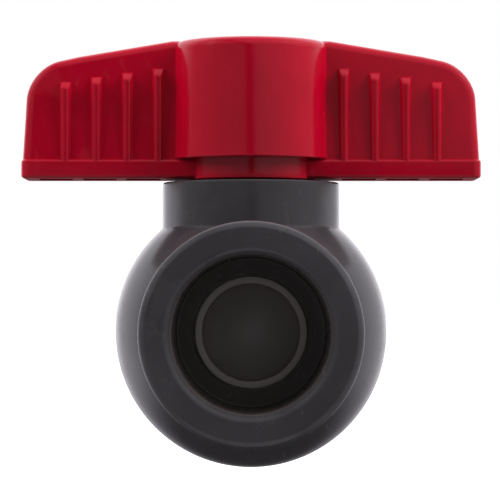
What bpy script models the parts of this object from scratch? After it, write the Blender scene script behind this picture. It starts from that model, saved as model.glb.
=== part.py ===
"""Quarter-turn ball valve for half-inch plastic pipe, used as a seacock, with a two-winged handle.

The ball's centre is the origin. Pipes enter along Y, with the front socket at -Y. The stem rises along +Z.
The valve is modelled shut: the handle's wings and the ball's bore both lie along X.
"""

import math

import bmesh
import bpy
from mathutils import Vector

MM = 0.001

# Pipe sockets
SOCKET_MOUTH_DIAMETER = 21.54 * MM
SOCKET_TAPER = 0.31 * MM
SOCKET_DEPTH = 22.2 * MM
SOCKET_WALL = 4.4 * MM
SOCKET_CHAMFER = 0.7 * MM
HUB_DRAFT = 0.3 * MM
HUB_EDGE_CHAMFER = 0.4 * MM

# Ball and water way
PORT_DIAMETER = 13.9 * MM
BALL_WALL = 4.05 * MM
BALL_SLOT_WIDTH = 4.2 * MM
BALL_SLOT_DEPTH = 2.6 * MM

# Seats and the cushion rings behind them
SEAT_COLLAR_WALL = 1.0 * MM
SEAT_COLLAR_LENGTH = 1.8 * MM
SEAT_LIP_WALL = 2.1 * MM
SEAT_FLANGE_LENGTH = 2.3 * MM
SEAT_BACK_SETBACK = 0.8 * MM
SEAT_FLOAT = 0.4 * MM
CUSHION_SECTION = 1.4 * MM
CUSHION_GROOVE_DEPTH = 1.1 * MM
CUSHION_LAND = 1.0 * MM

# Body shell
CAVITY_CLEARANCE = 1.2 * MM
SHELL_WALL = 7.55 * MM
STOP_WALL = 2.2 * MM
STOP_BORE_CLEARANCE = 0.45 * MM
COLLAR_WALL = 2.45 * MM
NECK_DIAMETER = 25.7 * MM
NECK_STAND = 1.95 * MM
NECK_EDGE_CHAMFER = 0.3 * MM

# Rear end connector
SPIGOT_WALL = 2.3 * MM
SPIGOT_STEP = 0.5 * MM
SPIGOT_LENGTH = 5.4 * MM
CONNECTOR_TAPER_LENGTH = 4.0 * MM
CONNECTOR_GROOVE_WIDTH = 1.7 * MM
CONNECTOR_GROOVE_DEPTH = 1.15 * MM
CONNECTOR_GROOVE_LAND = 0.6 * MM

# Stem
STEM_DIAMETER = 8.8 * MM
STEM_FLANGE_OVERHANG = 1.6 * MM
STEM_FLANGE_LENGTH = 1.7 * MM
STEM_LIFT = 0.2 * MM
TONGUE_LENGTH = 8.8 * MM
TONGUE_FLOOR_GAP = 0.15 * MM
WASHER_THICKNESS = 0.7 * MM
STEM_GROOVE_WIDTH = 1.7 * MM
STEM_GROOVE_DEPTH = 1.3 * MM
STEM_GROOVE_LAND = 0.75 * MM
STEM_GROOVE_PITCH = 2.8 * MM
DRIVE_WIDTH = 6.2 * MM
SCREW_PILOT_DIAMETER = 2.5 * MM
SCREW_PILOT_DEPTH = 11.5 * MM

# Stop pockets in the neck and the stop lug under the handle
POCKET_DEPTH = 4.1 * MM
POCKET_WALL = 2.95 * MM
POCKET_WIDTH = 2.3 * MM
BOSS_DROP = 0.5 * MM
BOSS_DROP_OVERLAP = 0.5 * MM
LUG_ANGLE = math.radians(60)
STOP_RIB_ANGLE = math.radians(20)
TURN_ANGLE = math.radians(90)
STOP_SLACK_ANGLE = math.radians(1.5)
REST_LUG_CENTRE = math.radians(45)

# Handle
HANDLE_GAP = 0.3 * MM
HANDLE_HEIGHT = 20.2 * MM
HANDLE_SPAN = 66.2 * MM
HUB_INSET = 0.85 * MM
HUB_TOP_DRAFT = 0.4 * MM
HUB_TOP_CHAMFER = 0.9 * MM
LOWER_HUB_INSET = 0.3 * MM
RIM_HEIGHT = 2.9 * MM
RIM_LIFT = 0.1 * MM
RIM_WIDTH = 10.8 * MM
RIM_LEDGE = 0.4 * MM
RIM_CORNER_RADIUS = 1.2 * MM
WING_KNEE_X = 13.0 * MM
WING_KNEE_DROP = 0.75 * MM
WING_SHOULDER_INSET = 1.3 * MM
WING_SHOULDER_DROP = 4.2 * MM
WING_SHOULDER_RADIUS = 6.0 * MM
WING_KNEE_RADIUS = 40.0 * MM
WING_DRAFT = 1.1 * MM
WING_EDGE_ROUND = 0.9 * MM
WING_WALL = 1.8 * MM
RIB_COUNT = 4
RIB_HUB_MARGIN = 1.4 * MM
RIB_END_MARGIN = 5.86 * MM
RIB_WIDTH = 1.5 * MM
RIB_TOP_MARGIN = 3.6 * MM
RIB_TOP_SLOPE = 1.2
CELL_COUNT = 3
CELL_WEB = 1.4 * MM
CELL_HUB_MARGIN = 1.2 * MM
CORE_WALL = 1.8 * MM
SOCKET_BOSS_DIAMETER = 12.0 * MM
SOCKET_WEB = 2.0 * MM
RECESS_DEPTH = 6.0 * MM
RECESS_DIAMETER = 10.4 * MM
RECESS_STEP_DEPTH = 3.7 * MM
RECESS_STEP_WIDTH = 1.0 * MM
SCREW_HOLE_DIAMETER = 3.5 * MM

# Handle screw, its washer and the cap over them
SCREW_SHANK_DIAMETER = 2.3 * MM
SCREW_HEAD_DIAMETER = 5.8 * MM
SCREW_HEAD_HEIGHT = 2.0 * MM
SCREW_TIP_LENGTH = 1.5 * MM
SCREW_ENGAGEMENT = 9.5 * MM
CROSS_WIDTH = 0.9 * MM
CROSS_LENGTH = 3.2 * MM
CROSS_DEPTH = 1.1 * MM
SCREW_WASHER_DIAMETER = 7.2 * MM
SCREW_WASHER_HOLE = 3.2 * MM
SCREW_WASHER_THICKNESS = 0.6 * MM
CAP_TOP_THICKNESS = 1.5 * MM
CAP_CROWN = 0.2 * MM

# Gaps between pieces
RUNNING_GAP = 0.1 * MM
SEAT_GAP = 0.1 * MM
SEAL_GAP = 0.06 * MM
WELD_GAP = 0.1 * MM
FACE_GAP = 0.15 * MM
LUG_GAP = 0.35 * MM
CUT_OVER = 1.0 * MM

# Facets
FLOW_SEGMENTS = 40
STEM_SEGMENTS = 32
RING_SIDES = 6
SHELL_ARC_STEPS = 9
BALL_ARC_STEPS = 12
LAND_ARC_STEPS = 3
CORNER_STEPS = 4
SECTOR_STEP_ANGLE = math.radians(12)
BEVEL_STEPS = 2
BEVEL_FROM_ANGLE = math.radians(50)
MERGE = 0.000005

# Water way, from the ball's centre outwards
port_radius = PORT_DIAMETER / 2
ball_radius = port_radius + BALL_WALL
cavity_radius = ball_radius + CAVITY_CLEARANCE
seat_radius = cavity_radius - RUNNING_GAP
seat_collar_radius = port_radius + SEAT_COLLAR_WALL
seat_back = ball_radius - SEAT_BACK_SETBACK
seat_front = seat_back + SEAT_COLLAR_LENGTH
stop_bore_radius = seat_collar_radius + STOP_BORE_CLEARANCE
stop_inner_face = seat_back + SEAT_FLOAT
socket_floor = stop_inner_face + STOP_WALL
mouth_face = socket_floor + SOCKET_DEPTH
cushion_inner_radius = stop_bore_radius + CUSHION_LAND

# Outside of the body and the rear connector
mouth_radius = SOCKET_MOUTH_DIAMETER / 2
socket_floor_radius = mouth_radius - SOCKET_TAPER / 2
hub_mouth_radius = mouth_radius + SOCKET_WALL
hub_root_radius = hub_mouth_radius + HUB_DRAFT
spigot_radius = max(socket_floor_radius + SPIGOT_WALL, cavity_radius + SPIGOT_STEP)
spigot_bore_radius = spigot_radius + WELD_GAP
collar_radius = spigot_bore_radius + COLLAR_WALL
shell_radius = cavity_radius + SHELL_WALL
collar_face = stop_inner_face + SPIGOT_LENGTH

# Heights on the stem axis
slot_floor = ball_radius - BALL_SLOT_DEPTH
flange_bottom = ball_radius + STEM_LIFT
flange_top = flange_bottom + STEM_FLANGE_LENGTH
washer_bottom = flange_top + RUNNING_GAP
washer_top = washer_bottom + WASHER_THICKNESS
stem_ceiling = washer_top + RUNNING_GAP
neck_radius = NECK_DIAMETER / 2
neck_top = shell_radius + NECK_STAND
pocket_floor = neck_top - POCKET_DEPTH
boss_top = neck_top - BOSS_DROP
handle_bottom = neck_top + HANDLE_GAP
handle_top = handle_bottom + HANDLE_HEIGHT
rim_bottom = handle_bottom + RIM_LIFT
rim_top = handle_bottom + RIM_HEIGHT
hub_bottom = rim_top + RIM_LIFT
recess_floor = handle_top - RECESS_DEPTH
recess_step = handle_top - RECESS_STEP_DEPTH
socket_top = recess_floor - SOCKET_WEB
stem_top = socket_top - FACE_GAP

# Radii round the stem axis
stem_radius = STEM_DIAMETER / 2
stem_bore_radius = stem_radius + RUNNING_GAP
flange_radius = stem_radius + STEM_FLANGE_OVERHANG
stem_groove_radius = stem_radius - STEM_GROOVE_DEPTH
lower_groove_bottom = stem_ceiling + STEM_GROOVE_LAND
pocket_outer_radius = neck_radius - POCKET_WALL
pocket_inner_radius = pocket_outer_radius - POCKET_WIDTH
hub_base_radius = neck_radius - HUB_INSET
hub_top_radius = hub_base_radius - HUB_TOP_DRAFT
lower_hub_radius = pocket_outer_radius - LOWER_HUB_INSET
recess_radius = RECESS_DIAMETER / 2
recess_step_radius = recess_radius - RECESS_STEP_WIDTH

# Handle wings
half_span = HANDLE_SPAN / 2
wing_base_x = half_span - RIM_LEDGE
wing_half_width = RIM_WIDTH / 2 - RIM_LEDGE
shoulder_x = wing_base_x - WING_SHOULDER_INSET + RIM_LEDGE / 2
shoulder_z = handle_top - WING_SHOULDER_DROP
knee_z = handle_top - WING_KNEE_DROP

FACING_FRONT = (math.pi / 2, 0, 0)
FACING_REAR = (-math.pi / 2, 0, 0)
FACING_RIGHT = (0, math.pi / 2, 0)


def start_scene():
    for old in list(bpy.data.objects):
        bpy.data.objects.remove(old, do_unlink=True)
    collections = []
    for name in ("seacock_valve", "cutters"):
        collection = bpy.data.collections.new(name)
        bpy.context.scene.collection.children.link(collection)
        collections.append(collection)
    return collections


parts, cutters = start_scene()


def plastic(name, colour, roughness, metallic=0.0):
    made = bpy.data.materials.new(name)
    made.use_nodes = True
    shader = made.node_tree.nodes["Principled BSDF"]
    shader.inputs["Base Color"].default_value = (*colour, 1.0)
    shader.inputs["Roughness"].default_value = roughness
    shader.inputs["Metallic"].default_value = metallic
    return made


GREY_PVC = plastic("grey_pvc", (0.053, 0.05, 0.055), 0.35)
RED_ABS = plastic("red_abs", (0.5, 0.001, 0.018), 0.3)
BALL_PLASTIC = plastic("ball_plastic", (0.45, 0.42, 0.405), 0.35)
SEAT_PLASTIC = plastic("seat_plastic", (0.74, 0.7, 0.64), 0.5)
BLACK_RUBBER = plastic("black_rubber", (0.012, 0.012, 0.012), 0.6)
STAINLESS = plastic("stainless_steel", (0.6, 0.6, 0.58), 0.3, 1.0)


def place(obj, material=None):
    """Puts a piece in the valve's collection, or a helper without a material among the cutters."""
    if material is None:
        cutters.objects.link(obj)
        obj.hide_render = True
        obj.display_type = "WIRE"
    else:
        parts.objects.link(obj)
        obj.data.materials.append(material)
    return obj


def mesh_object(name, points, edges=(), faces=(), material=None):
    mesh = bpy.data.meshes.new(name)
    mesh.from_pydata([Vector(p) for p in points], list(edges), list(faces))
    return place(bpy.data.objects.new(name, mesh), material)


def turned(name, profile, rotation=(0, 0, 0), material=None, ring=False, segments=STEM_SEGMENTS):
    """Turns (radius, height) points round local Z. A profile runs down its outer side, and a ring's closes."""
    count = len(profile)
    edges = [(i, i + 1) for i in range(count - 1)]
    if ring:
        edges.append((count - 1, 0))
    obj = mesh_object(name, [(r, 0, z) for r, z in profile], edges, material=material)
    obj.rotation_euler = rotation
    screw = obj.modifiers.new("turn", "SCREW")
    screw.steps = segments
    screw.render_steps = segments
    screw.use_merge_vertices = True
    screw.merge_threshold = MERGE
    screw.use_smooth_shade = True
    return obj


def prism(name, outline, low, high, material=None, rotation=(0, 0, 0)):
    """Extrudes a closed XY outline from low to high along local Z, as a mesh that Booleans can take."""
    curve = bpy.data.curves.new(name, "CURVE")
    curve.dimensions = "2D"
    curve.fill_mode = "BOTH"
    curve.extrude = (high - low) / 2
    spline = curve.splines.new("POLY")
    spline.points.add(len(outline) - 1)
    for point, (x, y) in zip(spline.points, outline):
        point.co = (x, y, 0, 1)
    spline.use_cyclic_u = True
    flat = bpy.data.objects.new(name + "_outline", curve)
    cutters.objects.link(flat)
    flat.location = (0, 0, (low + high) / 2)
    bpy.context.view_layer.update()
    graph = bpy.context.evaluated_depsgraph_get()
    mesh = bpy.data.meshes.new_from_object(flat.evaluated_get(graph))
    mesh.transform(flat.matrix_world)
    bpy.data.objects.remove(flat, do_unlink=True)
    mesh.materials.clear()
    welded = bmesh.new()
    welded.from_mesh(mesh)
    bmesh.ops.remove_doubles(welded, verts=welded.verts, dist=MERGE)
    bmesh.ops.recalc_face_normals(welded, faces=welded.faces)
    welded.to_mesh(mesh)
    welded.free()
    obj = place(bpy.data.objects.new(name, mesh), material)
    obj.rotation_euler = rotation
    return obj


def box(name, low, high, material=None):
    """A cube primitive with its corners at low and high."""
    mesh = bpy.data.meshes.new(name)
    cube = bmesh.new()
    bmesh.ops.create_cube(cube, size=1)
    low, high = Vector(low), Vector(high)
    for vert in cube.verts:
        vert.co = Vector(low[i] + (high[i] - low[i]) * (vert.co[i] + 0.5) for i in range(3))
    cube.to_mesh(mesh)
    cube.free()
    return place(bpy.data.objects.new(name, mesh), material)


def merged(name, objects):
    """Several helpers that don't touch, as one helper, so that one Boolean takes them all."""
    joined = bmesh.new()
    for obj in objects:
        mesh = obj.data.copy()
        mesh.transform(obj.matrix_basis)
        joined.from_mesh(mesh)
        bpy.data.objects.remove(obj, do_unlink=True)
    mesh = bpy.data.meshes.new(name)
    joined.to_mesh(mesh)
    joined.free()
    return place(bpy.data.objects.new(name, mesh))


def boolean(target, other, operation):
    step = target.modifiers.new(other.name, "BOOLEAN")
    step.operation = operation
    step.solver = "EXACT"
    step.object = other


def cut(target, *others):
    for other in others:
        boolean(target, other, "DIFFERENCE")


def join(target, *others):
    for other in others:
        boolean(target, other, "UNION")


def arc(centre, radius, start, end, steps):
    """Points on an arc, both ends included."""
    turns = [start + (end - start) * i / steps for i in range(steps + 1)]
    return [(centre[0] + radius * math.cos(t), centre[1] + radius * math.sin(t)) for t in turns]


def rounded(corners, steps=CORNER_STEPS):
    """A closed outline from (x, y, radius) corners, each corner with a radius replaced by an arc."""
    outline = []
    for i, (x, y, radius) in enumerate(corners):
        corner = Vector((x, y))
        if radius == 0:
            outline.append((x, y))
            continue
        before = (Vector(corners[i - 1][:2]) - corner).normalized()
        after = (Vector(corners[(i + 1) % len(corners)][:2]) - corner).normalized()
        half = before.angle(after) / 2
        centre = corner + (before + after).normalized() * radius / math.sin(half)
        first = corner + before * radius / math.tan(half) - centre
        last = corner + after * radius / math.tan(half) - centre
        start = math.atan2(first.y, first.x)
        sweep = math.remainder(math.atan2(last.y, last.x) - start, math.tau)
        outline += arc(centre, radius, start, start + sweep, steps)
    return outline


def sector(inner, outer, start, end):
    """Outline of a ring's sector between two angles."""
    steps = max(2, round((end - start) / SECTOR_STEP_ANGLE))
    return arc((0, 0), outer, start, end, steps) + arc((0, 0), inner, end, start, steps)


def o_ring(name, ring_radius, section_radius, rotation=(0, 0, 0), height=0.0, segments=FLOW_SEGMENTS):
    turns = [math.tau * (i + 0.5) / RING_SIDES for i in range(RING_SIDES)]
    section = [
        (ring_radius + section_radius * math.cos(t), height - section_radius * math.sin(t)) for t in turns
    ]
    return turned(name, section, rotation, BLACK_RUBBER, ring=True, segments=segments)


def socket_core(mouth_sign):
    """(radius, distance) points of a pipe socket's inside, from its floor to past its mouth."""
    return [
        (stop_bore_radius, mouth_sign * socket_floor),
        (socket_floor_radius, mouth_sign * socket_floor),
        (mouth_radius, mouth_sign * (mouth_face - SOCKET_CHAMFER)),
        (mouth_radius + SOCKET_CHAMFER + CUT_OVER, mouth_sign * (mouth_face + CUT_OVER)),
        (0, mouth_sign * (mouth_face + CUT_OVER)),
    ]


def hub_end(mouth_sign):
    """(radius, distance) points of a hub's outer end, towards its mouth."""
    return [
        (hub_mouth_radius, mouth_sign * (mouth_face - HUB_EDGE_CHAMFER)),
        (hub_mouth_radius - HUB_EDGE_CHAMFER, mouth_sign * mouth_face),
        (0, mouth_sign * mouth_face),
    ]


def build_body():
    """Casing in one piece: front socket, round shell, neck with the stop pockets, and the rear collar."""
    front_root = math.sqrt(shell_radius**2 - hub_root_radius**2)
    rear_root = math.sqrt(shell_radius**2 - collar_radius**2)
    shell = arc(
        (0, 0),
        shell_radius,
        math.atan2(rear_root, collar_radius),
        math.atan2(-front_root, hub_root_radius),
        SHELL_ARC_STEPS,
    )
    profile = [
        (0, collar_face),
        (collar_radius - HUB_EDGE_CHAMFER, collar_face),
        (collar_radius, collar_face - HUB_EDGE_CHAMFER),
        *shell,
        *hub_end(-1),
    ]
    body = turned("valve_body", profile, FACING_REAR, GREY_PVC, segments=FLOW_SEGMENTS)
    neck_profile = [
        (0, neck_top),
        (neck_radius - NECK_EDGE_CHAMFER, neck_top),
        (neck_radius, neck_top - NECK_EDGE_CHAMFER),
        (neck_radius, 0),
        (0, 0),
    ]
    join(body, turned("neck", neck_profile))
    flow_core = [
        (0, collar_face + CUT_OVER),
        (spigot_bore_radius, collar_face + CUT_OVER),
        (spigot_bore_radius, stop_inner_face - FACE_GAP),
        (cavity_radius, stop_inner_face - FACE_GAP),
        (cavity_radius, -stop_inner_face),
        (stop_bore_radius, -stop_inner_face),
        *socket_core(-1),
    ]
    stem_core = [
        (0, neck_top + CUT_OVER),
        (pocket_inner_radius + BOSS_DROP_OVERLAP, neck_top + CUT_OVER),
        (pocket_inner_radius + BOSS_DROP_OVERLAP, boss_top),
        (stem_bore_radius, boss_top),
        (stem_bore_radius, stem_ceiling),
        (flange_radius + RUNNING_GAP, stem_ceiling),
        (flange_radius + RUNNING_GAP, 0),
        (0, 0),
    ]
    cut(body, turned("flow_core", flow_core, FACING_REAR, segments=FLOW_SEGMENTS))
    cut(body, turned("stem_core", stem_core))
    cut(body, *stop_pockets())
    return body


def stop_pockets():
    """The pocket that the handle's lug sweeps, and the relief pocket beyond the two stop ribs."""
    travel_start = REST_LUG_CENTRE - LUG_ANGLE / 2 - STOP_SLACK_ANGLE
    travel_end = REST_LUG_CENTRE + TURN_ANGLE + LUG_ANGLE / 2 + STOP_SLACK_ANGLE
    spans = {
        "travel_pocket": (travel_start, travel_end),
        "relief_pocket": (travel_end + STOP_RIB_ANGLE, travel_start + math.tau - STOP_RIB_ANGLE),
    }
    return [
        prism(
            name,
            sector(pocket_inner_radius, pocket_outer_radius, start, end),
            pocket_floor,
            neck_top + CUT_OVER,
        )
        for name, (start, end) in spans.items()
    ]


def build_connector():
    """Rear end piece: a spigot welded into the body's collar, and the rear pipe socket."""
    flange_face = collar_face + FACE_GAP
    groove_start = stop_inner_face + CONNECTOR_GROOVE_LAND
    groove_radius = spigot_radius - CONNECTOR_GROOVE_DEPTH
    profile = [
        (0, mouth_face),
        (hub_mouth_radius - HUB_EDGE_CHAMFER, mouth_face),
        (hub_mouth_radius, mouth_face - HUB_EDGE_CHAMFER),
        (hub_root_radius, flange_face + CONNECTOR_TAPER_LENGTH),
        (collar_radius, flange_face + HUB_EDGE_CHAMFER),
        (collar_radius - HUB_EDGE_CHAMFER, flange_face),
        (spigot_radius, flange_face),
        (spigot_radius, groove_start + CONNECTOR_GROOVE_WIDTH),
        (groove_radius, groove_start + CONNECTOR_GROOVE_WIDTH),
        (groove_radius, groove_start),
        (spigot_radius, groove_start),
        (spigot_radius, stop_inner_face),
        (0, stop_inner_face),
    ]
    connector = turned("rear_end_connector", profile, FACING_REAR, GREY_PVC, segments=FLOW_SEGMENTS)
    core = [(0, stop_inner_face - CUT_OVER), (stop_bore_radius, stop_inner_face - CUT_OVER), *socket_core(1)]
    cut(connector, turned("rear_socket_core", core[::-1], FACING_REAR, segments=FLOW_SEGMENTS))
    section_radius = (CONNECTOR_GROOVE_DEPTH + WELD_GAP) / 2 - SEAL_GAP
    o_ring(
        "connector_o_ring",
        (groove_radius + spigot_bore_radius) / 2,
        section_radius,
        FACING_REAR,
        groove_start + CONNECTOR_GROOVE_WIDTH / 2,
    )


def build_ball():
    """Ball with its bore along X, and the slot on top that the stem's tongue turns it by."""
    edge = math.acos(port_radius / ball_radius)
    outside = arc((0, 0), ball_radius, edge, -edge, BALL_ARC_STEPS)
    ball = turned("ball", outside, FACING_RIGHT, BALL_PLASTIC, ring=True)
    half_slot = BALL_SLOT_WIDTH / 2
    cut(
        ball,
        box(
            "ball_slot",
            (-half_slot, -cavity_radius, slot_floor),
            (half_slot, cavity_radius, ball_radius + CUT_OVER),
        ),
    )


def build_seats():
    """A seat and its cushion ring each side of the ball, both made facing outwards along their own Z."""
    land_radius = ball_radius + SEAT_GAP
    lip_radius = port_radius + SEAT_LIP_WALL
    lip_angle = math.acos(lip_radius / land_radius)
    port_angle = math.acos(port_radius / land_radius)
    land = arc((0, 0), land_radius, lip_angle, port_angle, LAND_ARC_STEPS)
    cushion_outer = cushion_inner_radius + CUSHION_SECTION + 2 * SEAL_GAP
    profile = [
        (seat_collar_radius, seat_front),
        (seat_collar_radius, seat_back),
        (cushion_inner_radius, seat_back),
        (cushion_inner_radius, seat_back - CUSHION_GROOVE_DEPTH),
        (cushion_outer, seat_back - CUSHION_GROOVE_DEPTH),
        (cushion_outer, seat_back),
        (seat_radius, seat_back),
        (seat_radius, seat_back - SEAT_FLANGE_LENGTH),
        *land,
        (port_radius, seat_front),
    ]
    cushion_height = seat_back - CUSHION_GROOVE_DEPTH + SEAL_GAP + CUSHION_SECTION / 2
    for side, facing in (("front", FACING_FRONT), ("rear", FACING_REAR)):
        turned(f"{side}_seat", profile, facing, SEAT_PLASTIC, ring=True, segments=FLOW_SEGMENTS)
        o_ring(
            f"{side}_seat_cushion",
            cushion_inner_radius + SEAL_GAP + CUSHION_SECTION / 2,
            CUSHION_SECTION / 2,
            facing,
            cushion_height,
        )


def build_stem():
    """Stem with its tongue, flange, two seal grooves and square drive, and the rings and washer on it."""
    grooves = [lower_groove_bottom + STEM_GROOVE_PITCH * i for i in range(2)]
    profile = [(0, boss_top + FACE_GAP), (stem_radius, boss_top + FACE_GAP)]
    for bottom in reversed(grooves):
        top = bottom + STEM_GROOVE_WIDTH
        profile += [(stem_radius, top), (stem_groove_radius, top)]
        profile += [(stem_groove_radius, bottom), (stem_radius, bottom)]
    profile += [
        (stem_radius, flange_top),
        (flange_radius, flange_top),
        (flange_radius, flange_bottom),
        (0, flange_bottom),
    ]
    stem = turned("stem", profile, material=GREY_PVC)
    half_drive = DRIVE_WIDTH / 2
    half_tongue = BALL_SLOT_WIDTH / 2 - RUNNING_GAP
    drive_root = boss_top + FACE_GAP / 2
    join(
        stem,
        box(
            "stem_tongue",
            (-half_tongue, -TONGUE_LENGTH / 2, slot_floor + TONGUE_FLOOR_GAP),
            (half_tongue, TONGUE_LENGTH / 2, (flange_bottom + flange_top) / 2),
        ),
        box("stem_drive", (-half_drive, -half_drive, drive_root), (half_drive, half_drive, stem_top)),
    )
    pilot_floor = stem_top - SCREW_PILOT_DEPTH
    pilot = [
        (0, stem_top + CUT_OVER),
        (SCREW_PILOT_DIAMETER / 2, stem_top + CUT_OVER),
        (SCREW_PILOT_DIAMETER / 2, pilot_floor),
        (0, pilot_floor - SCREW_PILOT_DIAMETER / 2),
    ]
    cut(stem, turned("screw_pilot", pilot, segments=STEM_SEGMENTS // 2))
    section_radius = (stem_bore_radius - stem_groove_radius) / 2 - SEAL_GAP
    for name, bottom in zip(("lower_stem_o_ring", "upper_stem_o_ring"), grooves):
        o_ring(
            name,
            (stem_bore_radius + stem_groove_radius) / 2,
            section_radius,
            height=bottom + STEM_GROOVE_WIDTH / 2,
            segments=STEM_SEGMENTS,
        )
    washer = [
        (flange_radius - RUNNING_GAP, washer_top),
        (flange_radius - RUNNING_GAP, washer_bottom),
        (stem_bore_radius + RUNNING_GAP / 2, washer_bottom),
        (stem_bore_radius + RUNNING_GAP / 2, washer_top),
    ]
    turned("stem_thrust_washer", washer, material=SEAT_PLASTIC, ring=True)


def wing_top_at(x):
    """Height of the wings' top edge at a distance from the stem axis, past the knee."""
    share = (abs(x) - WING_KNEE_X) / (shoulder_x - WING_KNEE_X)
    return knee_z + (shoulder_z - knee_z) * max(0.0, share)


def wing_face_at(z):
    """Half the wings' thickness at a height: they thin towards the top by their draft."""
    return wing_half_width - WING_DRAFT * (z - rim_top) / (handle_top - rim_top)


def wing_bar():
    """Both wings and the web between them, as one drafted bar with rounded edges."""
    embedded = (rim_bottom + rim_top) / 2
    right = [
        (wing_base_x, embedded, 0),
        (shoulder_x, shoulder_z, WING_SHOULDER_RADIUS),
        (WING_KNEE_X, knee_z, WING_KNEE_RADIUS),
    ]
    left = [(-x, z, radius) for x, z, radius in reversed(right)]
    bar = prism("wing_bar", rounded(right + left), -wing_half_width, wing_half_width)
    # The outline's XY stands up as XZ, and each face leans in by the draft.
    for vert in bar.data.vertices:
        x, z, depth = vert.co
        vert.co = (x, -wing_face_at(z) * math.copysign(1, depth), z)
    edges = bar.modifiers.new("rounded_edges", "BEVEL")
    edges.width = WING_EDGE_ROUND
    edges.segments = BEVEL_STEPS
    edges.limit_method = "ANGLE"
    edges.angle_limit = BEVEL_FROM_ANGLE
    return bar


def rim_bar():
    """Flat band round the foot of both wings."""
    half_width = RIM_WIDTH / 2
    corners = [(1, -1), (1, 1), (-1, 1), (-1, -1)]
    outline = rounded([(x * half_span, y * half_width, RIM_CORNER_RADIUS) for x, y in corners])
    return prism("rim_bar", outline, rim_bottom, rim_top)


def rib_positions():
    first = hub_base_radius + RIB_HUB_MARGIN
    pitch = (wing_base_x - RIB_END_MARGIN - first) / (RIB_COUNT - 1)
    return [side * (first + pitch * i) for side in (-1, 1) for i in range(RIB_COUNT)]


def grip_ribs(face):
    """Upright half-round ribs on one side of both wings, each with a sloped top end."""
    front = RIM_WIDTH / 2 - RUNNING_GAP / 2
    radius = RIB_WIDTH / 2
    root = wing_face_at(handle_top) - radius
    ribs = []
    for x in rib_positions():
        nose = arc((x, front - radius), radius, 0, math.pi, CORNER_STEPS)
        outline = [(px, face * py) for px, py in [*nose, (x - radius, root), (x + radius, root)]]
        rib_top = wing_top_at(x) - RIB_TOP_MARGIN
        rib = prism("grip_rib", outline, (rim_bottom + rim_top) / 2, rib_top)
        for vert in rib.data.vertices:
            if vert.co.z > rim_top:
                vert.co.z -= (abs(vert.co.y) - root) * RIB_TOP_SLOPE
        ribs.append(rib)
    return ribs


def wing_cells():
    """Hollows that are open at the bottom of the wings, with a web between neighbours."""
    inner = hub_base_radius + CELL_HUB_MARGIN
    outer = wing_base_x - WING_WALL
    width = (outer - inner - CELL_WEB * (CELL_COUNT - 1)) / CELL_COUNT
    half_depth = wing_face_at(handle_top) - WING_WALL / 2
    cells = []
    for i in range(CELL_COUNT):
        near = inner + (width + CELL_WEB) * i
        far = near + width
        roof = shoulder_z - WING_SHOULDER_RADIUS if i == CELL_COUNT - 1 else wing_top_at(far) - 2 * WING_WALL
        for side in (-1, 1):
            low_x, high_x = sorted((side * near, side * far))
            low = (low_x, -half_depth, rim_bottom - CUT_OVER)
            cells.append(box("wing_cell", low, (high_x, half_depth, roof)))
    return cells


def build_handle():
    """Handle in one piece: hub with the stem socket and cap recess, two ribbed wings, rim and stop lug."""
    profile = [
        (0, handle_top),
        (hub_top_radius - HUB_TOP_CHAMFER, handle_top),
        (hub_top_radius, handle_top - HUB_TOP_CHAMFER),
        (hub_base_radius, hub_bottom),
        (lower_hub_radius, hub_bottom),
        (lower_hub_radius, handle_bottom),
        (0, handle_bottom),
    ]
    handle = turned("handle", profile, material=RED_ABS)
    join(handle, wing_bar(), rim_bar())
    join(handle, merged("front_ribs", grip_ribs(-1)), merged("rear_ribs", grip_ribs(1)))
    cut(handle, merged("wing_cells", wing_cells()))
    core_outer = lower_hub_radius - CORE_WALL
    core_inner = SOCKET_BOSS_DIAMETER / 2
    core_top = socket_top - SOCKET_WEB / 2
    core = [
        (core_outer, core_top),
        (core_outer, handle_bottom - CUT_OVER),
        (core_inner, handle_bottom - CUT_OVER),
        (core_inner, core_top),
    ]
    recess = [
        (0, handle_top + CUT_OVER),
        (recess_radius, handle_top + CUT_OVER),
        (recess_radius, recess_step),
        (recess_step_radius, recess_step),
        (recess_step_radius, recess_floor),
        (SCREW_HOLE_DIAMETER / 2, recess_floor),
        (SCREW_HOLE_DIAMETER / 2, socket_top - CUT_OVER),
        (0, socket_top - CUT_OVER),
    ]
    half_socket = DRIVE_WIDTH / 2 + RUNNING_GAP
    cut(
        handle,
        turned("hub_core", core, ring=True),
        turned("cap_recess", recess),
        box(
            "drive_socket",
            (-half_socket, -half_socket, handle_bottom - CUT_OVER),
            (half_socket, half_socket, socket_top),
        ),
    )
    lug_outline = sector(
        pocket_inner_radius + LUG_GAP,
        pocket_outer_radius - LUG_GAP,
        REST_LUG_CENTRE - LUG_ANGLE / 2,
        REST_LUG_CENTRE + LUG_ANGLE / 2,
    )
    join(handle, prism("stop_lug", lug_outline, pocket_floor + LUG_GAP, handle_bottom + RIM_LIFT / 2))


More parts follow.
